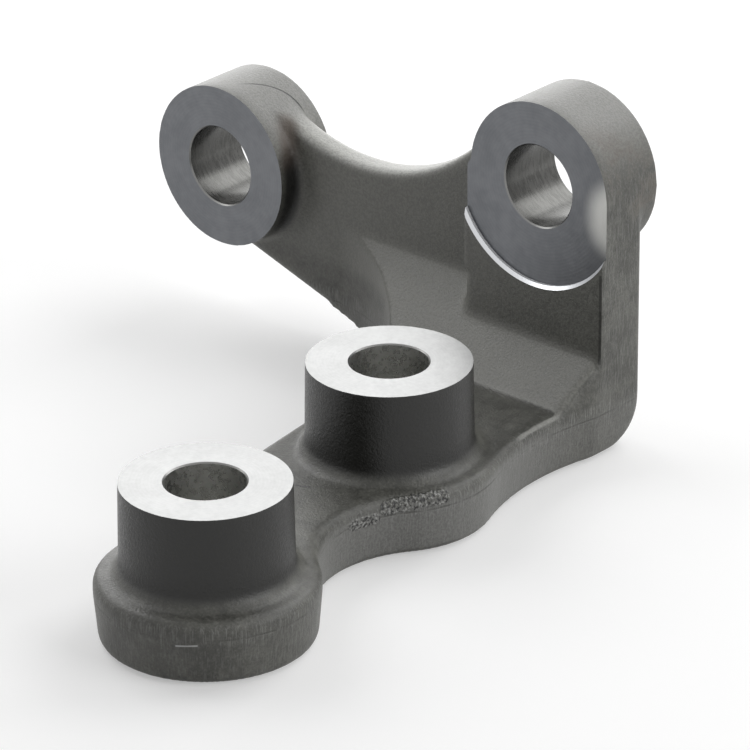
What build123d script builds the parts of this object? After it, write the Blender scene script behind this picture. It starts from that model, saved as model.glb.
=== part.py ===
from build123d import *
import os
from math import asin, atan2, cos, degrees, radians, sin, sqrt, tan

# Axle support bracket: one steel forging with machined bosses, lugs and bores.
# X points from the low lug to the high lug, Y from the front boss to the wall, Z up.
# The origin is on the rear boss's axis, in the flat underside. All sizes are in millimetres.

# Base plate and the two upright bosses
base_thickness = 16.8
boss_height = 24.0
boss_radius = 21.0
boss_draft = 1.0
boss_bore_radius = 10.0
pad_radius = 27.6
front_boss_x = 11.2
front_boss_y = -78.7
parting_height = 12.3
lower_draft = 5.0

# Blends in the plan of the base
waist_radius = 28.3
side_hollow_radius = 70.0
foot_round_radius = 12.0
foot_margin = 0.4
flare_radius = 48.0
flare_overlap = 0.3

# Wall, post and arm
wall_thickness = 8.05
post_thickness = 16.6
post_back = 72.3
post_left_draft = 2.5
heel_radius = 11.0
saddle_radius = 58.0
arm_foot_x = -46.8

# Ramp between the base plate and the wall
ramp_angle = 38.7
ramp_height = 17.7

# Lugs with cross bores
lug_radius = 22.5
lug_length = 20.0
lug_face_y = 57.3
lug_bore_radius = 11.0
high_lug_height = 69.3
low_lug_x = -111.0
low_lug_height = 44.1
spotface_radius = 26.5

# Edge radii
top_edge_radius = 2.5
rim_radius = 2.0
saddle_edge_radius = 2.5
post_edge_radius = 3.0
post_foot_radius = 3.0
boss_foot_radius = 3.6
lug_foot_radius = 3.3
lug_foot_overlap = 0.3
bore_chamfer = 0.3
low_foot_angle = -25

total_height = base_thickness + boss_height
wall_front = post_back - wall_thickness
post_front = post_back - post_thickness
ramp_top = base_thickness + ramp_height
ramp_foot_y = wall_front - ramp_height / tan(radians(ramp_angle))
foot_round_y = post_front - foot_margin
lug_back = lug_face_y + lug_length
boss_foot = boss_radius + boss_height * tan(radians(boss_draft))
beyond = 2 * (total_height + lug_radius)


def polar(center, radius, angle):
    return center + Vector(cos(radians(angle)), sin(radians(angle))) * radius


def angle_to(start, end):
    return degrees(atan2(end.Y - start.Y, end.X - start.X))


def arc_between(center, radius, first_angle, last_angle):
    middle = polar(center, radius, (first_angle + last_angle) / 2)
    return ThreePointArc(polar(center, radius, first_angle), middle, polar(center, radius, last_angle))


def apex(first, first_distance, second, second_distance):
    """The point at two given distances from two points, on the left of the way between them."""
    gap = (second - first).length
    along = (gap**2 + first_distance**2 - second_distance**2) / (2 * gap)
    aside = sqrt(first_distance**2 - along**2)
    heading = angle_to(first, second)
    return polar(polar(first, along, heading), aside, heading + 90)


def base_outline():
    """Plan of the base: two pads, a straight left side that flares, a waisted right side."""
    rear_pad = Vector(0, 0)
    front_pad = Vector(front_boss_x, front_boss_y)
    heading = angle_to(rear_pad, front_pad)
    left_angle = heading - 90
    backward = polar(Vector(0, 0), -1, heading)
    left_tangent = polar(rear_pad, pad_radius, left_angle)
    # the flare is tangent to the straight side and all but tangent to the wall's face
    flare_end_y = wall_front + flare_overlap
    flare_far_side = polar(left_tangent, flare_radius, left_angle)
    flare_center = flare_far_side + backward * ((flare_end_y - flare_radius - flare_far_side.Y) / backward.Y)
    flare_start = polar(flare_center, flare_radius, left_angle + 180)
    flare_end = flare_center + Vector(0, flare_radius)
    waist_center = apex(rear_pad, pad_radius + waist_radius, front_pad, pad_radius + waist_radius)
    foot_round_center = Vector(lug_radius - foot_round_radius, foot_round_y)
    hollow_center = apex(foot_round_center, foot_round_radius + side_hollow_radius,
                         rear_pad, pad_radius + side_hollow_radius)
    with BuildLine() as line:
        Line(left_tangent, flare_start)
        arc_between(flare_center, flare_radius, left_angle + 180, 90)
        Line(flare_end, (flare_end.X, post_back))
        Line((flare_end.X, post_back), (lug_radius, post_back))
        Line((lug_radius, post_back), (lug_radius, foot_round_y))
        arc_between(foot_round_center, foot_round_radius, 0, angle_to(foot_round_center, hollow_center))
        arc_between(hollow_center, side_hollow_radius, angle_to(foot_round_center, hollow_center) + 180,
                    angle_to(rear_pad, hollow_center) + 180)
        arc_between(rear_pad, pad_radius, angle_to(rear_pad, hollow_center), angle_to(rear_pad, waist_center))
        arc_between(waist_center, waist_radius, angle_to(rear_pad, waist_center) + 180,
                    angle_to(front_pad, waist_center) + 180)
        arc_between(front_pad, pad_radius, angle_to(front_pad, waist_center), left_angle)
        Line(polar(front_pad, pad_radius, left_angle), left_tangent)
    return make_face(line.edges())


def side_profile():
    """Side view of the base, its ramp and its wall, with the rounded heel."""
    far_front = front_boss_y - 2 * pad_radius
    far_top = high_lug_height + 2 * lug_radius
    with BuildLine(Plane.YZ) as line:
        Line((far_front, 0), (post_back - heel_radius, 0))
        RadiusArc((post_back - heel_radius, 0), (post_back, heel_radius), -heel_radius)
        Polyline((post_back, heel_radius), (post_back, far_top), (wall_front, far_top),
                 (wall_front, ramp_top), (ramp_foot_y, base_thickness), (far_front, base_thickness),
                 (far_front, 0))
    return make_face(line.edges())


def arm_lower_edge():
    """The arm's sloping lower edge: its slope, its tangent point on the low lug and its foot."""
    foot = Vector(arm_foot_x, 0)
    low = Vector(low_lug_x, low_lug_height)
    slope = 180 - angle_to(foot, low) - degrees(asin(lug_radius / (low - foot).length))
    return slope, polar(low, lug_radius, 270 - slope), foot


def arm_outline():
    """Front view of the wall and the arm, whose ends follow the two lugs' rounds."""
    low = Vector(low_lug_x, low_lug_height)
    high = Vector(0, high_lug_height)
    reach = lug_radius + saddle_radius
    saddle_center = apex(low, reach, high, reach)
    low_angle = angle_to(low, saddle_center)
    high_angle = angle_to(high, saddle_center)
    slope, lower_tangent, lower_end = arm_lower_edge()
    foot_inset = parting_height * tan(radians(lower_draft))
    with BuildLine() as line:
        arc_between(low, lug_radius, low_angle, 270 - slope)
        Polyline(lower_tangent, lower_end, (lug_radius - foot_inset, 0), (lug_radius, parting_height),
                 (lug_radius, high_lug_height))
        arc_between(high, lug_radius, 0, high_angle)
        arc_between(saddle_center, saddle_radius, high_angle - 180, low_angle - 180)
    return make_face(line.edges())


def above_lower_edge():
    """Everything above the arm's lower edge, which also trims the flare of the base."""
    slope, tangent, lower_end = arm_lower_edge()
    far_left = lower_end + (tangent - lower_end) * 3
    far_right = 3 * lug_radius
    top = high_lug_height + 3 * lug_radius
    with BuildLine() as line:
        Polyline(lower_end, far_left, (far_left.X, top), (far_right, top), (far_right, 0), lower_end)
    return make_face(line.edges())


def at_front_view(sketch, y_front, y_back):
    """Extrude a front-view sketch, drawn in X and Z, from y_front back to y_back."""
    plane = Plane((0, y_back, 0), x_dir=(1, 0, 0), z_dir=(0, -1, 0))
    return extrude(plane * sketch, y_back - y_front)


def edges_within(shape, low_corner, high_corner):
    """The edges that lie wholly inside a box, a little enlarged."""
    slack = 0.05
    found = []
    for edge in shape.edges():
        box = edge.bounding_box()
        above = all(a > b - slack for a, b in zip(box.min, low_corner))
        below = all(a < b + slack for a, b in zip(box.max, high_corner))
        if above and below:
            found.append(edge)
    return found


def stays_at(edge, axis, value):
    """Whether an edge keeps one value of X, Y or Z all along."""
    box = edge.bounding_box()
    index = "XYZ".index(axis)
    low = tuple(box.min)[index]
    high = tuple(box.max)[index]
    return abs(low - value) < 0.05 and abs(high - value) < 0.05


def disc_at(x, height, radius, y_front, y_back):
    """A cylinder along Y on the axis of a lug."""
    return at_front_view(Pos(x, height) * Circle(radius), y_front, y_back)


def lug_foot(x, height, towards, wall_y, outwards):
    """A hollow round the foot of a lug, deepest in one direction and fading out on both sides of it.

    It is turned about an axis that is set off towards that direction, given in degrees in the front
    view. The wall's face is at wall_y, and the lug stands out of it in the sense of outwards, +1 or -1.
    """
    center = polar(Vector(x, height), lug_foot_radius, towards)
    wide = lug_radius - lug_foot_overlap
    narrow = wide - lug_foot_radius
    top = wall_y + outwards * lug_foot_radius
    sunk = wall_y - outwards * lug_foot_radius
    middle_x = wide - lug_foot_radius * cos(radians(45))
    middle_y = top - outwards * lug_foot_radius * cos(radians(45))
    with BuildLine() as line:
        Polyline((0, top), (0, sunk), (wide, sunk), (wide, wall_y))
        ThreePointArc((wide, wall_y), (middle_x, middle_y), (narrow, top))
        Line((narrow, top), (0, top))
    ring = revolve(make_face(line.edges()), Axis.Y)
    return Pos(center.X, 0, center.Y) * ring


# Base, ramp and wall from the plan and the side view
plan = base_outline()
lower_base = extrude(Pos(0, 0, parting_height) * plan, parting_height, dir=(0, 0, -1), taper=lower_draft)
upper_base = extrude(Pos(0, 0, parting_height) * plan, ramp_top + 1 - parting_height)
profile = extrude(side_profile(), beyond, both=True)
trim = at_front_view(above_lower_edge(), front_boss_y - 2 * pad_radius, post_back)
base = (lower_base + upper_base) & profile & trim

# Wall and arm, with a rounded front rim along the saddle between the lugs
arm = at_front_view(arm_outline(), wall_front, post_back)
saddle_box = ((low_lug_x, wall_front, low_lug_height), (0, wall_front, high_lug_height + lug_radius))
saddle_edge = [edge for edge in edges_within(arm, *saddle_box) if edge.bounding_box().size.X > saddle_radius]
arm = arm.fillet(saddle_edge_radius, saddle_edge) & profile

# Post under the high lug: rounded front corner, round top, upright sides, the left one drafted
post_foot = base_thickness
left_foot = lug_radius + (high_lug_height - post_foot) * tan(radians(post_left_draft))
column_top = high_lug_height + 2 * lug_radius
left_top = left_foot - (column_top - post_foot) * tan(radians(post_left_draft))
with BuildLine() as column_line:
    Polyline((-left_foot, post_foot), (-left_top, column_top), (lug_radius, column_top),
             (lug_radius, post_foot), (-left_foot, post_foot))
column = at_front_view(make_face(column_line.edges()), post_front, post_back)
front_left_edge = edges_within(column, (-left_foot, post_front, post_foot), (-left_top, post_front, column_top))
column = column.fillet(post_edge_radius, front_left_edge)
with BuildLine() as post_line:
    CenterArc((0, high_lug_height), lug_radius, 0, 180)
    Polyline((-lug_radius, high_lug_height), (-left_foot, post_foot), (lug_radius, post_foot),
             (lug_radius, high_lug_height))
post = column & at_front_view(make_face(post_line.edges()), post_front, post_back)
body = (base + arm + post).solids()[0]

# Hollow round the foot of the post and along the top of the ramp
foot_height = ramp_top - (wall_front - post_front) * tan(radians(ramp_angle))
foot_edges = edges_within(body, (-beyond, post_front, foot_height), (lug_radius, wall_front, ramp_top))
foot_edges = [edge for edge in foot_edges if not stays_at(edge, "X", lug_radius)]
body = body.fillet(post_foot_radius, foot_edges)

# Rounded rim along the underside, the heel and the back
bottom_edges = [edge for edge in body.edges() if stays_at(edge, "Z", 0)
                and not stays_at(edge, "Y", post_back - heel_radius) and not stays_at(edge, "X", arm_foot_x)]
heel_edges = edges_within(body, (lug_radius - heel_radius, post_back - heel_radius, 0),
                          (lug_radius, post_back, parting_height))
heel_edges = [edge for edge in heel_edges if edge.bounding_box().min.X > lug_radius - rim_radius]
back_edges = [edge for edge in body.edges() if stays_at(edge, "Y", post_back)
              and not stays_at(edge, "Z", heel_radius)]
rim = set(bottom_edges + heel_edges + back_edges)
body = body.fillet(rim_radius, rim)

# Rounded upper rim of the base, which runs up the right edge of the ramp
top_edges = [edge for edge in body.edges() if stays_at(edge, "Z", base_thickness)
             and not stays_at(edge, "Y", ramp_foot_y)]
ramp_side = edges_within(body, (lug_radius - foot_round_radius, ramp_foot_y - pad_radius, base_thickness),
                         (lug_radius, post_front, foot_height))
ramp_side = [edge for edge in ramp_side if edge.bounding_box().min.X > lug_radius - rim_radius]
body = body.fillet(top_edge_radius, set(top_edges + ramp_side))

# Lugs for the two axles, with a hollow round the foot where they stand out of the wall
for x, height in ((low_lug_x, low_lug_height), (0, high_lug_height)):
    body += disc_at(x, height, lug_radius, lug_face_y, lug_back)
body += lug_foot(low_lug_x, low_lug_height, low_foot_angle, wall_front, -1)

# Upright bosses with a hollow round the foot
for x, y in ((0, 0), (front_boss_x, front_boss_y)):
    body += Pos(x, y, base_thickness) * Cone(boss_foot, boss_radius, boss_height,
                                             align=(Align.CENTER, Align.CENTER, Align.MIN))
boss_foot_edges = [edge for edge in body.edges() if stays_at(edge, "Z", base_thickness)
                   and abs(edge.bounding_box().size.X - 2 * boss_foot) < 0.1]
body = body.solids()[0].fillet(boss_foot_radius, boss_foot_edges)

# Machined step round the high lug and the four bores
body -= disc_at(0, high_lug_height, spotface_radius, front_boss_y, lug_face_y)
for x, y in ((0, 0), (front_boss_x, front_boss_y)):
    body -= Pos(x, y, 0) * Cylinder(boss_bore_radius, beyond)
for x, height in ((low_lug_x, low_lug_height), (0, high_lug_height)):
    body -= disc_at(x, height, lug_bore_radius, front_boss_y, lug_back + heel_radius)
bore_edges = [edge for edge in body.edges().filter_by(GeomType.CIRCLE)
              if min(abs(edge.radius - boss_bore_radius), abs(edge.radius - lug_bore_radius)) < 0.01]
body = body.solids()[0].chamfer(bore_chamfer, None, bore_edges)

os.makedirs("parts", exist_ok=True)
export_step(body, "parts/axle_support_bracket.step")
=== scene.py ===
import bpy
import math
from mathutils import Matrix, Vector


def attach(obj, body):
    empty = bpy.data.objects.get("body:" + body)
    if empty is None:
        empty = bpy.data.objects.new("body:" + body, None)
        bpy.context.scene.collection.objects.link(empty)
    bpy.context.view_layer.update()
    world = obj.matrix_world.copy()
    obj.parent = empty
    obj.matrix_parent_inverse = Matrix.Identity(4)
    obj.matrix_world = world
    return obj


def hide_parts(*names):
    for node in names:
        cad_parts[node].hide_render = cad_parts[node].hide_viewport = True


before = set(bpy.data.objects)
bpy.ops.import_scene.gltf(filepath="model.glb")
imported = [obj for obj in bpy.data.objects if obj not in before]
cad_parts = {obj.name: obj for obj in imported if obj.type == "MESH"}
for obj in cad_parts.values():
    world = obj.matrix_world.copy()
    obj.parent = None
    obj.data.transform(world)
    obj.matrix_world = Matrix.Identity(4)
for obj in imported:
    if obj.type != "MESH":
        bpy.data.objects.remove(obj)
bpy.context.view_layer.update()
scene = bpy.context.scene
scene.view_settings.view_transform = "Standard"

# Camera: a long lens from above the front right, as the photograph was taken.
# Its place (in metres) and its axes come from a fit to the edges of the bosses and lugs.
camera_place = Vector((0.80060, -0.90338, 0.60835))
camera_right = Vector((0.748522, 0.663076, -0.006684))
camera_up = Vector((-0.279188, 0.324276, 0.903825))
camera_data = bpy.data.cameras.new("camera")
camera_data.sensor_width = 36
camera_data.lens = 257.59
camera = bpy.data.objects.new("camera", camera_data)
camera_turn = Matrix((camera_right, camera_up, camera_right.cross(camera_up))).transposed()
camera.matrix_world = Matrix.Translation(camera_place) @ camera_turn.to_4x4()
scene.collection.objects.link(camera)
scene.camera = camera


# Forging blank: one drop-forged piece of steel with softly rounded edges.
# It starts from the CAD solid, with a little extra metal on its bosses, lugs and post and in its
# bores, which is machined off further down. Sizes are in millimetres.
def mm(*values):
    """A length, or a vector of three of them, from millimetres to metres."""
    scaled = [value * 0.001 for value in values]
    return scaled[0] if len(scaled) == 1 else Vector(scaled)


def deselect_all():
    for other in bpy.context.selected_objects:
        other.select_set(False)


def make_active(piece):
    deselect_all()
    piece.select_set(True)
    bpy.context.view_layer.objects.active = piece


def keep_place(name):
    """Name the piece just made, and move its place and size into its mesh."""
    piece = bpy.context.object
    piece.name = name
    bpy.ops.object.transform_apply(location=True, rotation=True, scale=True)
    return piece


def upright(name, x, y, bottom, top, bottom_radius, top_radius, sides=160):
    """A closed cone or cylinder that stands along Z."""
    deselect_all()
    bpy.ops.mesh.primitive_cone_add(
        vertices=sides, radius1=mm(bottom_radius), radius2=mm(top_radius), depth=mm(top - bottom),
        location=mm(x, y, (bottom + top) / 2))
    return keep_place(name)


def crosswise(name, x, z, front, back, front_radius, back_radius, sides=160):
    """A closed cone or cylinder that lies along Y."""
    deselect_all()
    bpy.ops.mesh.primitive_cone_add(
        vertices=sides, radius1=mm(back_radius), radius2=mm(front_radius), depth=mm(back - front),
        location=mm(x, (front + back) / 2, z), rotation=(math.radians(90), 0, 0))
    return keep_place(name)


def box(name, center, size):
    deselect_all()
    bpy.ops.mesh.primitive_cube_add(size=1, location=mm(*center))
    bpy.context.object.scale = mm(*size)
    return keep_place(name)


def join(pieces, name):
    deselect_all()
    for piece in pieces:
        piece.select_set(True)
    bpy.context.view_layer.objects.active = pieces[0]
    bpy.ops.object.join()
    pieces[0].name = name
    return pieces[0]


def apply_modifier(piece, kind, **settings):
    make_active(piece)
    modifier = piece.modifiers.new(kind.lower(), kind)
    for setting, value in settings.items():
        setattr(modifier, setting, value)
    bpy.ops.object.modifier_apply(modifier=modifier.name)


boss_places = ((0, 0), (11.2, -78.7))
boss_top = 40.8
base_top = 16.8
boss_radius = 21.0
boss_foot_radius = 21.42
boss_bore = 10.0
low_lug, high_lug = lug_places = ((-111, 44.1), (0, 69.3))
lug_front = 57.3
lug_back = 77.3
lug_radius = 22.5
lug_bore = 11.0
post_front = 55.7

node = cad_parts["axle_support_bracket"]
blank = node.copy()
blank.data = node.data.copy()
blank.parent = None
for key in list(blank.keys()):
    del blank[key]
scene.collection.objects.link(blank)
make_active(blank)
weld = 0.002
bpy.ops.object.mode_set(mode="EDIT")
bpy.ops.mesh.select_all(action="SELECT")
bpy.ops.mesh.remove_doubles(threshold=mm(weld))
bpy.ops.object.mode_set(mode="OBJECT")

face_stock = 1.2
stock_root = 2
cap_depth = 5
fill_bottom = 0.8
fill_radius = boss_bore + 0.6
extra = []
for x, y in boss_places:
    extra.append(upright("boss_stock", x, y, base_top - stock_root, boss_top,
                         boss_foot_radius, boss_radius))
    extra.append(upright("boss_cap", x, y, boss_top - cap_depth, boss_top + face_stock,
                         boss_radius, boss_radius))
    extra.append(upright("boss_fill", x, y, fill_bottom, boss_top, fill_radius, fill_radius))
for x, z in lug_places:
    extra.append(crosswise("lug_stock", x, z, lug_front - face_stock, lug_back + face_stock,
                           lug_radius, lug_radius))
# stock that makes the post's top full and its right front edge sharp
post_stock = 3
extra.append(crosswise("post_fill", *high_lug, post_front, lug_front + post_stock,
                       lug_radius, lug_radius))
block_x, block_z, block_width, block_height = (-0.55, 55, 46.1, 29)
extra.append(box("post_block", (block_x, (post_front + lug_front + post_stock) / 2, block_z),
                 (block_width, lug_front + post_stock - post_front, block_height)))
edge_x, edge_z, edge_width, edge_depth, edge_height = (17.25, 46, 10.5, 5, 42)
extra.append(box("post_edge", (edge_x, post_front + edge_depth / 2, edge_z),
                 (edge_width, edge_depth, edge_height)))
blank = join([blank] + extra, "axle_support_bracket_forging")
forging_grid = 0.9
softening_passes = 4
apply_modifier(blank, "REMESH", mode="VOXEL", voxel_size=mm(forging_grid), adaptivity=0,
               use_smooth_shade=True)
apply_modifier(blank, "SMOOTH", factor=0.5, iterations=softening_passes)


# Forged skin: dark scale left by the hammer and the shot-blast, which is never machined. Its colour
# is painted paler on the lugs, the rims, the ramp, the wall's front and the trimmed sides of the base,
# and darkest on the bosses' sides: this is painted light and shade, not the scale's own tone.
def new_material(name, metallic, roughness=None, color=None):
    """A material with one shader; a roughness or a colour is given only where it is even."""
    material = bpy.data.materials.new(name)
    material.use_nodes = True
    shader = material.node_tree.nodes["Principled BSDF"]
    shader.inputs["Metallic"].default_value = metallic
    if roughness is not None:
        shader.inputs["Roughness"].default_value = roughness
    if color is not None:
        shader.inputs["Base Color"].default_value = color
    return material, material.node_tree, shader


def add_node(tree, kind, **settings):
    made = tree.nodes.new("ShaderNode" + kind)
    for setting, value in settings.items():
        setattr(made, setting, value)
    return made


def feed(tree, source, target):
    """Join an output to an input, or set the input where a plain value is given."""
    if isinstance(source, bpy.types.NodeSocket):
        tree.links.new(source, target)
    else:
        target.default_value = source


def calculate(tree, operation, *values):
    made = add_node(tree, "Math", operation=operation)
    for slot, value in zip(made.inputs, values):
        feed(tree, value, slot)
    return made.outputs[0]


def product(tree, *values):
    """Masks and shares multiplied together."""
    result = values[0]
    for value in values[1:]:
        result = calculate(tree, "MULTIPLY", result, value)
    return result


def ramp_between(tree, value, low, high, out_low=0.0, out_high=1.0):
    """A smooth step of a value from low to high, clamped at both ends."""
    made = add_node(tree, "MapRange", interpolation_type="SMOOTHSTEP")
    for slot, number in zip(made.inputs[1:5], (low, high, out_low, out_high)):
        slot.default_value = number
    feed(tree, value, made.inputs["Value"])
    return made.outputs["Result"]


def rising(tree, value, low, high):
    """0 up to a length in millimetres, and 1 from a longer one."""
    return ramp_between(tree, value, mm(low), mm(high))


def falling(tree, value, low, high):
    """1 up to a length in millimetres, and 0 from a longer one."""
    return ramp_between(tree, value, mm(low), mm(high), 1.0, 0.0)


def blend(tree, amount, first, second):
    made = add_node(tree, "Mix", data_type="RGBA")
    feed(tree, amount, made.inputs["Factor"])
    feed(tree, first, made.inputs["A"])
    feed(tree, second, made.inputs["B"])
    return made.outputs["Result"]


def noise(tree, vector, scale, detail=2.0, roughness=0.5):
    """Noise from 0 to 1; the scale is in cells per metre."""
    made = add_node(tree, "TexNoise")
    feed(tree, vector, made.inputs["Vector"])
    made.inputs["Scale"].default_value = scale
    made.inputs["Detail"].default_value = detail
    made.inputs["Roughness"].default_value = roughness
    return made.outputs["Fac"]


def stretched(tree, vector, x, y, z):
    made = add_node(tree, "Mapping")
    feed(tree, vector, made.inputs["Vector"])
    made.inputs["Scale"].default_value = (x, y, z)
    return made.outputs["Vector"]


def object_place(tree):
    return add_node(tree, "TexCoord").outputs["Object"]


def add_bump(tree, shader, height, strength, depth):
    bump = add_node(tree, "Bump")
    bump.inputs["Strength"].default_value = strength
    bump.inputs["Distance"].default_value = mm(depth)
    feed(tree, height, bump.inputs["Height"])
    feed(tree, bump.outputs["Normal"], shader.inputs["Normal"])


def line_distance(tree, place, start, end):
    """The distance from a line between two points in millimetres."""
    way = mm(*end) - mm(*start)
    from_start = add_node(tree, "VectorMath", operation="SUBTRACT")
    feed(tree, place, from_start.inputs[0])
    from_start.inputs[1].default_value = mm(*start)
    ahead = add_node(tree, "VectorMath", operation="DOT_PRODUCT")
    feed(tree, from_start.outputs[0], ahead.inputs[0])
    ahead.inputs[1].default_value = way / way.length_squared
    share = calculate(tree, "MINIMUM", calculate(tree, "MAXIMUM", ahead.outputs["Value"], 0.0), 1.0)
    along_way = add_node(tree, "VectorMath", operation="SCALE")
    along_way.inputs[0].default_value = way
    feed(tree, share, along_way.inputs["Scale"])
    away = add_node(tree, "VectorMath", operation="DISTANCE")
    feed(tree, from_start.outputs[0], away.inputs[0])
    feed(tree, along_way.outputs[0], away.inputs[1])
    return away.outputs["Value"]


def near_line(tree, place, start, end, inner, outer):
    """1 within the inner distance of a line, and 0 beyond the outer one."""
    return falling(tree, line_distance(tree, place, start, end), inner, outer)


def effect_group(name, outputs, *inputs):
    """A node group whose inputs and outputs are given as (name, socket type) pairs."""
    group = bpy.data.node_groups.new(name, "ShaderNodeTree")
    for label, kind in inputs:
        group.interface.new_socket(label, in_out="INPUT", socket_type="NodeSocket" + kind)
    for label, kind in outputs:
        group.interface.new_socket(label, in_out="OUTPUT", socket_type="NodeSocket" + kind)
    return group, group.nodes.new("NodeGroupInput").outputs, group.nodes.new("NodeGroupOutput").inputs


def place_group(tree, group, **values):
    placed = add_node(tree, "Group")
    placed.node_tree = group
    for label, value in values.items():
        feed(tree, value, placed.inputs[label.replace("_", " ").capitalize()])
    return placed.outputs


# mottled tone and grain of blasted or cut steel
grain_group, given, put = effect_group(
    "steel_grain", (("Mottle", "Float"), ("Grain", "Float")),
    ("Position", "Vector"), ("Grain size", "Float"))
broad = noise(grain_group, given["Position"], scale=70, detail=3.0)
patch = noise(grain_group, given["Position"], scale=330, detail=3.0, roughness=0.6)
broad_share = 0.55
feed(grain_group, calculate(grain_group, "MULTIPLY_ADD", broad, broad_share,
                            product(grain_group, patch, 1 - broad_share)), put["Mottle"])
scaled = add_node(grain_group, "VectorMath", operation="SCALE")
feed(grain_group, given["Position"], scaled.inputs[0])
feed(grain_group, given["Grain size"], scaled.inputs["Scale"])
feed(grain_group, noise(grain_group, scaled.outputs[0], scale=1.0, detail=3.0, roughness=0.65),
     put["Grain"])

skin, tree, shader = new_material("forged_skin", metallic=0.0)
place = object_place(tree)
facing = add_node(tree, "SeparateXYZ")
feed(tree, add_node(tree, "NewGeometry").outputs["Normal"], facing.inputs[0])
facing_y, facing_z = facing.outputs["Y"], facing.outputs["Z"]
point = add_node(tree, "SeparateXYZ")
feed(tree, place, point.inputs[0])
across, along, height = point.outputs
grain = place_group(tree, grain_group, position=place, grain_size=1500.0)

# which way the skin faces, and how far along the part it lies
upward = ramp_between(tree, facing_z, 0.15, 0.85)
frontward = ramp_between(tree, facing_y, -0.9, -0.5, 1.0, 0.0)
steepness = calculate(tree, "ABSOLUTE", facing_z)
sideways = ramp_between(tree, steepness, 0.2, 0.45, 1.0, 0.0)
behind = rising(tree, along, 54, 62)
patchy = ramp_between(tree, grain["Mottle"], 0.42, 0.6)

# where each tone of the skin lies; those of the wall, the base's sides, the ramp, the lugs, the saddle and
# the bosses' sides are painted light and shade
# painted shade: the bosses' sides above the plate are painted almost black
boss_columns = [
    near_line(tree, place, (x, y, 10), (x, y, 60),
              inner=boss_foot_radius + 0.6, outer=boss_foot_radius + 2.2)
    for x, y in boss_places]
boss_side = product(tree, calculate(tree, "MAXIMUM", *boss_columns), rising(tree, height, 17.5, 20.5))
# painted light: the lugs' upward faces are painted paler
on_lugs = product(tree, upward, rising(tree, height, 36, 52), behind)
# painted light: the saddle's rim between the lugs is painted paler still
on_saddle = product(tree, on_lugs, rising(tree, across, -97, -86), falling(tree, across, -24, -14))
# painted light: the front faces of the wall and post are painted paler, as if lit from the front
on_wall = product(tree, frontward, rising(tree, along, 50, 54), rising(tree, height, 20, 26))
# painted light: the ramp, which faces up and forward, is painted paler
on_ramp = product(tree, ramp_between(tree, facing_z, 0.45, 0.65),
                  ramp_between(tree, facing_z, 0.86, 0.94, 1.0, 0.0),
                  rising(tree, along, 24, 28), falling(tree, height, 36, 44))
on_flank = product(tree, sideways, falling(tree, height, 12.5, 15.5))
# painted light: the base's sides are painted paler, least at the front pad and towards the back
past_front_pad = product(tree, ramp_between(tree, along, mm(-62), mm(-45), 0.1, 1.0),
                         ramp_between(tree, along, mm(25), mm(55), 1.0, 0.35))
post_side = product(tree, sideways, rising(tree, across, 21.4, 22.2), rising(tree, along, 53, 56))

# the parting line, and the fine upright scratches of the trimming tool round it
parting_height = 12.3
off_parting = calculate(tree, "ABSOLUTE", calculate(tree, "SUBTRACT", height, mm(parting_height)))
parting_line = product(tree, sideways, falling(tree, off_parting, 0.15, 0.4), patchy)
trim_band = product(tree, ramp_between(tree, steepness, 0.6, 0.8, 1.0, 0.0),
                    rising(tree, height, 9.5, 11.5), falling(tree, height, 15.2, 16.4))
striae = noise(tree, stretched(tree, place, 1.0, 1.0, 0.1), scale=2300, roughness=0.6)
flank_share = 0.5
on_sides = product(tree, calculate(tree, "MAXIMUM", on_flank, post_side), flank_share)
scratched = product(tree, ramp_between(tree, striae, 0.5, 0.66),
                    calculate(tree, "MAXIMUM", trim_band, on_sides))

# a seam runs round the place where the arm's web meets the top of the low lug, at the edge of a shallow
# step: it is bumped in as a groove, and the black along it is painted shade of the step's wall
seam_y = 58.3
seam_radius = 14.5
seam_angle_cosine, seam_angle_sine = 0.701, 0.713
seam_middle = (low_lug[0] + lug_radius * seam_angle_cosine, seam_y,
               low_lug[1] + lug_radius * seam_angle_sine)
seam_distance = line_distance(tree, place, (low_lug[0], seam_y, low_lug[1]), seam_middle)
off_seam = calculate(tree, "ABSOLUTE", calculate(tree, "SUBTRACT", seam_distance, mm(seam_radius)))
seam_groove_and_shade = product(tree, falling(tree, off_seam, 0.12, 0.4), on_lugs, rising(tree, along, 62, 67),
               falling(tree, across, -96, -93))

# marks of the blast, of the trimming and of handling, and two short dark lines, each at its place on the
# real part; the black at the low lug's right side is painted shade in the hollow where it meets the arm
# painted shade: black on the low lug's right side, between its milled face and the wall
lug_side_painted_shade = product(tree, rising(tree, along, 57.6, 60), falling(tree, along, 63, 64.4),
                    rising(tree, across, -99, -92), falling(tree, height, 46, 55),
                    falling(tree, across, -87, -86))
brown_by_arm = near_line(tree, place, (-92.6, 64.5, 61), (-89.5, 61, 50), inner=0.8, outer=4.5)
brown_on_lug = near_line(tree, place, (18, 60, 81), (22.5, 74, 70), inner=3, outer=12)
brown_on_lug = product(tree, brown_on_lug, patchy)
scar = calculate(tree, "MAXIMUM",
                 near_line(tree, place, (18.9, -22, 14.6), (25.8, -9.5, 15.2), inner=0.6, outer=3.4),
                 near_line(tree, place, (16.3, -32, 12.6), (17.5, -25.5, 12.2), inner=0.3, outer=2.6))
ragged = noise(tree, place, scale=420, roughness=0.6)
scar = ramp_between(tree, calculate(tree, "ADD", scar, ragged), 0.85, 1.15)
pits = noise(tree, place, scale=1350, detail=1.5)
scratch = near_line(tree, place, (23.8, -103.1, 10.7), (28.0, -100.4, 11.1), inner=0.12, outer=0.32)
# a short dark line on the plate, in front of the rear boss
short_dark_line = near_line(tree, place, (-3.9, -31.2, 16.6), (-0.5, -29.6, 16.6), inner=0.25, outer=0.6)
edge_line = near_line(tree, place, (22.0, 55.7, 27), (22.0, 55.7, 51), inner=0.25, outer=0.6)

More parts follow.
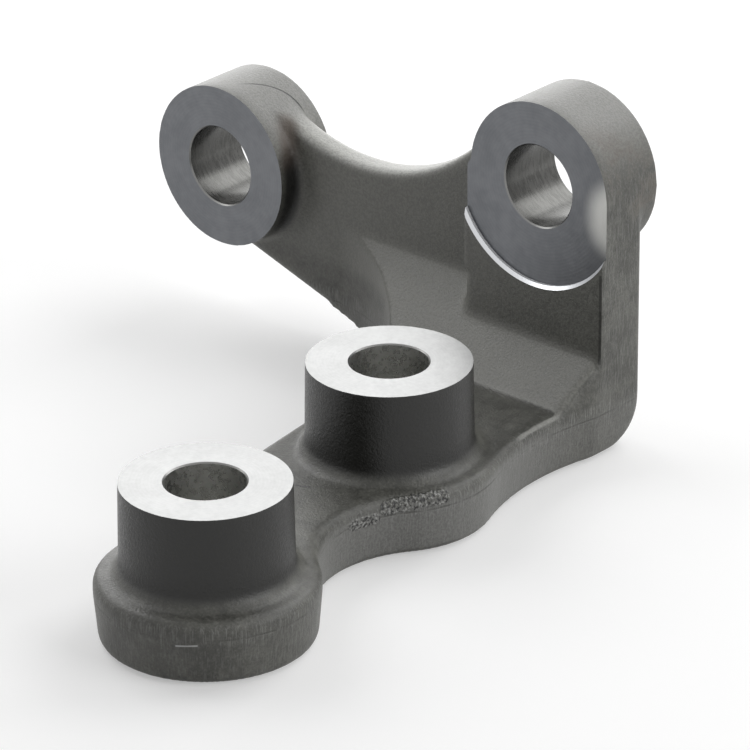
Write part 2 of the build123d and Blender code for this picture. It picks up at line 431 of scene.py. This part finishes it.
dark_skin = (0.046, 0.046, 0.039, 1)
plain_skin = (0.105, 0.105, 0.092, 1)
# painted light: the paler tone of the wall's front
wall_painted_light = (0.165, 0.165, 0.147, 1)
# painted light: the paler tone of the lugs' upward faces
lug_top_painted_light = (0.2, 0.2, 0.187, 1)
# painted light: the paler tone of the ramp
ramp_painted_light = (0.235, 0.235, 0.215, 1)
# painted light: the paler tone of the saddle's rim
saddle_painted_light = (0.4, 0.4, 0.375, 1)
# painted shade: the near-black tone of the bosses' sides
boss_side_painted_shade = (0.004, 0.004, 0.003, 1)
# painted light: the paler tone of the base's sides
flank_painted_light = (0.155, 0.155, 0.146, 1)
scratch_steel = (0.3, 0.3, 0.29, 1)
fresh_scratch = (0.5, 0.5, 0.5, 1)
black_scale_and_shade = (0.004, 0.004, 0.004, 1)
brown_tint = (0.075, 0.052, 0.037, 1)
color = blend(tree, ramp_between(tree, grain["Mottle"], 0.36, 0.64), dark_skin, plain_skin)
for mask, share, tone in (
        (on_wall, 0.75, wall_painted_light),
        (product(tree, on_flank, past_front_pad), 1.0, flank_painted_light),
        (on_ramp, 0.85, ramp_painted_light),
        (on_lugs, 1.0, lug_top_painted_light),
        (on_saddle, 1.0, saddle_painted_light),
        (ramp_between(tree, grain["Grain"], 0.4, 0.56, 1.0, 0.0), 0.25, black_scale_and_shade),
        (ramp_between(tree, grain["Grain"], 0.54, 0.68), 0.12, scratch_steel),
        (boss_side, 1.0, boss_side_painted_shade),
        (brown_on_lug, 0.4, brown_tint),
        (brown_by_arm, 0.75, brown_tint),
        (lug_side_painted_shade, 0.9, black_scale_and_shade),
        (scratched, 0.3, scratch_steel),
        (parting_line, 0.7, dark_skin),
        (product(tree, scar, ramp_between(tree, pits, 0.56, 0.64)), 1.0, scratch_steel),
        (product(tree, scar, ramp_between(tree, pits, 0.4, 0.47, 1.0, 0.0)), 1.0, black_scale_and_shade),
        (scratch, 0.8, fresh_scratch),
        (short_dark_line, 1.0, black_scale_and_shade),
        (seam_groove_and_shade, 0.75, black_scale_and_shade),
        (edge_line, 0.65, black_scale_and_shade)):
    color = blend(tree, product(tree, mask, share), color, tone)
feed(tree, color, shader.inputs["Base Color"])

smooth_skin, rough_skin = 0.36, 0.52
boss_smoother = -0.06
rough = ramp_between(tree, grain["Grain"], 0.3, 0.7, smooth_skin, rough_skin)
feed(tree, calculate(tree, "MULTIPLY_ADD", boss_side, boss_smoother, rough), shader.inputs["Roughness"])

relief = grain["Grain"]
for mask, rise in ((scratched, 0.5), (parting_line, -1.2), (product(tree, scar, pits), 3.0), (seam_groove_and_shade, -2.0)):
    relief = calculate(tree, "MULTIPLY_ADD", mask, rise, relief)
add_bump(tree, shader, relief, strength=0.45, depth=0.35)
blank.data.materials.clear()
blank.data.materials.append(skin)

# Machining: the boss tops are faced, the lug faces milled, and the four bores drilled and reamed.
# The cut steel is bare, with a thin chamfer round each bore and one on the corner of the spot face
# that the high lug's mill leaves in the post. The walls that the lugs' face cuts leave are pale non-metal
# paint, a painted highlight.
rings_group, given, put = effect_group(
    "turned_rings", (("Rings", "Float"),),
    ("Position", "Vector"), ("Center", "Vector"), ("Rings per metre", "Float"))
offset = add_node(rings_group, "VectorMath", operation="SUBTRACT")
feed(rings_group, given["Position"], offset.inputs[0])
feed(rings_group, given["Center"], offset.inputs[1])
length = add_node(rings_group, "VectorMath", operation="LENGTH")
feed(rings_group, offset.outputs[0], length.inputs[0])
turns = product(rings_group, length.outputs["Value"], given["Rings per metre"])
uneven = noise(rings_group, given["Position"], scale=260, detail=1.0)
unevenness = 5.0
wave = calculate(rings_group, "SINE", calculate(rings_group, "MULTIPLY_ADD", uneven, unevenness, turns))
feed(rings_group, calculate(rings_group, "MULTIPLY_ADD", wave, 0.5, 0.5), put["Rings"])


def cut_steel(name, center, darker, lighter, roughness, spread, depth, painted_glare=None):
    """Bare steel with faint rings round a centre, perhaps with a painted reflection, a pale patch near a
    line; in millimetres.
    """
    material, tree, shader = new_material(name, metallic=1.0)
    place = object_place(tree)
    grain = place_group(tree, grain_group, position=place, grain_size=900.0)
    rings = place_group(tree, rings_group, position=place, center=mm(*center), rings_per_metre=7000.0)
    ring_share = 0.2
    amount = calculate(tree, "MULTIPLY_ADD", rings["Rings"], ring_share,
                       product(tree, ramp_between(tree, grain["Mottle"], 0.35, 0.65), 1 - ring_share))
    color = blend(tree, amount, darker, lighter)
    # painted reflection: a pale patch near the line stands in for a glare on the face
    if painted_glare:
        painted_glare_steel = (0.55, 0.55, 0.53, 1)
        color = blend(tree, near_line(tree, place, *painted_glare, inner=5.5, outer=12.5), color, painted_glare_steel)
    feed(tree, color, shader.inputs["Base Color"])
    feed(tree, ramp_between(tree, grain["Grain"], 0.3, 0.7, roughness - spread, roughness + spread),
         shader.inputs["Roughness"])
    add_bump(tree, shader, rings["Rings"], strength=0.1, depth=depth)
    return material


def bore_steel(name, darker, lighter, stretch):
    """Drilled or reamed steel, with streaks that the stretch may draw out round the bore."""
    material, tree, shader = new_material(name, metallic=1.0)
    streaks = noise(tree, stretched(tree, object_place(tree), *stretch), scale=1300, roughness=0.6)
    feed(tree, blend(tree, ramp_between(tree, streaks, 0.3, 0.7), darker, lighter),
         shader.inputs["Base Color"])
    feed(tree, ramp_between(tree, streaks, 0.3, 0.7, 0.25, 0.31), shader.inputs["Roughness"])
    return material


def cut_away(cutter, material, side_material=None):
    """Cut with a tool; the faces that it leaves take its material, its sides perhaps another."""
    cutter.data.materials.append(material)
    if side_material:
        cutter.data.materials.append(side_material)
        for face in cutter.data.polygons:
            if len(face.vertices) == 4:
                face.material_index = 1
    apply_modifier(blank, "BOOLEAN", object=cutter, operation="DIFFERENCE", solver="EXACT",
                   material_mode="TRANSFER")
    bpy.data.objects.remove(cutter)


bored = bore_steel("bored_boss", (0.61, 0.61, 0.59, 1), (0.67, 0.67, 0.65, 1),
                   stretch=(0.5, 0.5, 0.5))
reamed = bore_steel("reamed_lug", (0.07, 0.07, 0.067, 1), (0.098, 0.098, 0.094, 1),
                    stretch=(0.25, 1.0, 0.25))
bright_edge = new_material("fresh_chamfer", 1.0, 0.3, (0.2, 0.2, 0.195, 1))[0]
# painted highlight: pale non-metal paint on the spot faces' walls, in place of bright lit steel
step_painted_highlight = new_material("spotface_step_painted_highlight", 0.0, 0.3, (0.9, 0.91, 0.93, 1))[0]
bright_step = new_material("step_chamfer", 1.0, 0.3, (0.62, 0.63, 0.65, 1))[0]
chamfer = 0.35
chamfer_margin = 1
facing_radius = 26
facing_depth = 4
drill_below, drill_above = 4, 6
wide_bore = boss_bore + chamfer + chamfer_margin
for name, (x, y) in zip(("rear", "front"), boss_places):
    faced = cut_steel("faced_" + name + "_boss", (x, y, boss_top), (0.275, 0.277, 0.275, 1),
                      (0.31, 0.312, 0.31, 1), roughness=0.38, spread=0.04, depth=0.03)
    cut_away(upright("face_cut", x, y, boss_top, boss_top + facing_depth,
                     facing_radius, facing_radius), faced)
    cut_away(upright("bore_cut", x, y, -drill_below, boss_top + drill_above,
                     boss_bore, boss_bore), bored)
    cut_away(upright("top_chamfer", x, y, boss_top - chamfer, boss_top + chamfer_margin,
                     boss_bore, wide_bore), bright_edge)
    cut_away(upright("bottom_chamfer", x, y, -chamfer_margin, chamfer, wide_bore, boss_bore), bright_edge)

spotface_radius = 26.5
milling_depth = 6
drill_margin = 8
wide_bore = lug_bore + chamfer + chamfer_margin
# painted reflection: the pale patch at the right of the high lug's milled face, near this line
painted_glare_line = ((26.5, 57.3, 65), (26.5, 57.3, 67))
for name, (x, z) in zip(("low", "high"), lug_places):
    milled = cut_steel("milled_" + name + "_lug", (x, lug_front, z), (0.13, 0.135, 0.144, 1),
                       (0.165, 0.17, 0.18, 1), roughness=0.34, spread=0.04, depth=0.04,
                       painted_glare=painted_glare_line if name == "high" else None)
    cut_away(crosswise("face_cut", x, z, lug_front - milling_depth, lug_front,
                       spotface_radius, spotface_radius), milled, step_painted_highlight)
    cut_away(crosswise("back_cut", x, z, lug_back, lug_back + milling_depth,
                       spotface_radius, spotface_radius), milled)
    cut_away(crosswise("bore_cut", x, z, lug_front - drill_margin, lug_back + drill_margin,
                       lug_bore, lug_bore), reamed)
    cut_away(crosswise("front_chamfer", x, z, lug_front - chamfer_margin, lug_front + chamfer,
                       wide_bore, lug_bore), bright_edge)
    cut_away(crosswise("back_chamfer", x, z, lug_back - chamfer, lug_back + chamfer_margin,
                       lug_bore, wide_bore), bright_edge)
step_chamfer = 0.8
step_front = post_front - 4
cut_away(crosswise("step_chamfer", *high_lug, step_front, post_front + step_chamfer,
                   spotface_radius + post_front + step_chamfer - step_front, spotface_radius), bright_step)

# slivers that the cuts leave are merged away
sliver = 0.003
sharp_angle = 35
make_active(blank)
bpy.ops.object.mode_set(mode="EDIT")
bpy.ops.mesh.select_all(action="SELECT")
bpy.ops.mesh.remove_doubles(threshold=mm(sliver))
bpy.ops.mesh.dissolve_degenerate(threshold=mm(sliver))
bpy.ops.object.mode_set(mode="OBJECT")
bpy.ops.object.shade_smooth_by_angle(angle=math.radians(sharp_angle))
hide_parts("axle_support_bracket")
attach(blank, "root")


# Floor: a plain white sheet. Its own glow keeps it white in the picture and in the steel's gloss,
# all the more so far from the bracket, and its paint takes the soft shadow that the bracket throws.
def look_through(tree, unseen, seen, output):
    """One shader for the light that falls on the part, and another for what eye and gloss see."""
    path = add_node(tree, "LightPath").outputs
    chosen = add_node(tree, "MixShader")
    direct = calculate(tree, "MAXIMUM", path["Is Camera Ray"],
                       calculate(tree, "MAXIMUM", path["Is Glossy Ray"], path["Is Transmission Ray"]))
    feed(tree, direct, chosen.inputs[0])
    feed(tree, unseen.outputs[0], chosen.inputs[1])
    feed(tree, seen.outputs[0], chosen.inputs[2])
    feed(tree, chosen.outputs[0], add_node(tree, output).inputs["Surface"])


def even_shader(tree, kind, grey, strength=None):
    made = add_node(tree, kind)
    made.inputs["Color"].default_value = (grey, grey, grey, 1)
    if strength is not None:
        made.inputs["Strength"].default_value = strength
    return made


floor_size = 8
floor_gap = 0.0002
deselect_all()
bpy.ops.mesh.primitive_plane_add(size=floor_size, location=(0, 0, -floor_gap))
floor = bpy.context.object
floor.name = "floor"
floor_paint = bpy.data.materials.new("floor_paint")
floor_paint.use_nodes = True
tree = floor_paint.node_tree
tree.nodes.clear()
paint = even_shader(tree, "BsdfDiffuse", grey=0.8)
thin_paint = even_shader(tree, "BsdfDiffuse", grey=0.65)
glow = even_shader(tree, "Emission", grey=1)
near_glow, far_glow = 0.37, 1.0
glow_starts, glow_full = 0.2, 0.8
from_part = add_node(tree, "VectorMath", operation="LENGTH")
feed(tree, object_place(tree), from_part.inputs[0])
feed(tree, ramp_between(tree, from_part.outputs["Value"], glow_starts, glow_full, near_glow, far_glow),
     glow.inputs["Strength"])
glowing_paint = add_node(tree, "AddShader")
feed(tree, thin_paint.outputs[0], glowing_paint.inputs[0])
feed(tree, glow.outputs[0], glowing_paint.inputs[1])
look_through(tree, unseen=paint, seen=glowing_paint, output="OutputMaterial")
floor.data.materials.append(floor_paint)


# Lights: soft boxes behind the bracket, which graze its top faces and leave its front in shade, one
# at its right, and a weak one at the front left. The room itself gives little light, but is white.
def soft_light(name, azimuth, elevation, watts, size=0.6, distance=1.3):
    """A square soft box, its angles in degrees and its size and distance in metres."""
    data = bpy.data.lights.new(name, "AREA")
    data.shape = "SQUARE"
    data.size = size
    data.energy = watts
    light = bpy.data.objects.new(name, data)
    turn, rise = math.radians(azimuth), math.radians(elevation)
    outward = Vector((math.cos(rise) * math.cos(turn), math.cos(rise) * math.sin(turn), math.sin(rise)))
    aim = mm(-20, 0, 30)
    light.location = aim + outward * distance
    light.rotation_euler = outward.to_track_quat("Z", "Y").to_euler()
    scene.collection.objects.link(light)


soft_light("back_light", azimuth=135, elevation=20, watts=8.0, size=1.1)
soft_light("back_left_light", azimuth=180, elevation=45, watts=6.5, size=0.9)
soft_light("back_right_light", azimuth=80, elevation=45, watts=8.5, size=0.9)
soft_light("front_left_light", azimuth=225, elevation=18, watts=1.0)
soft_light("right_light", azimuth=15, elevation=24, watts=8.5, size=0.9)
world = bpy.data.worlds.new("studio")
scene.world = world
world.use_nodes = True
tree = world.node_tree
tree.nodes.clear()
room = even_shader(tree, "Background", grey=1, strength=0.12)
white = even_shader(tree, "Background", grey=1, strength=1.0)
look_through(tree, unseen=room, seen=white, output="OutputWorld")
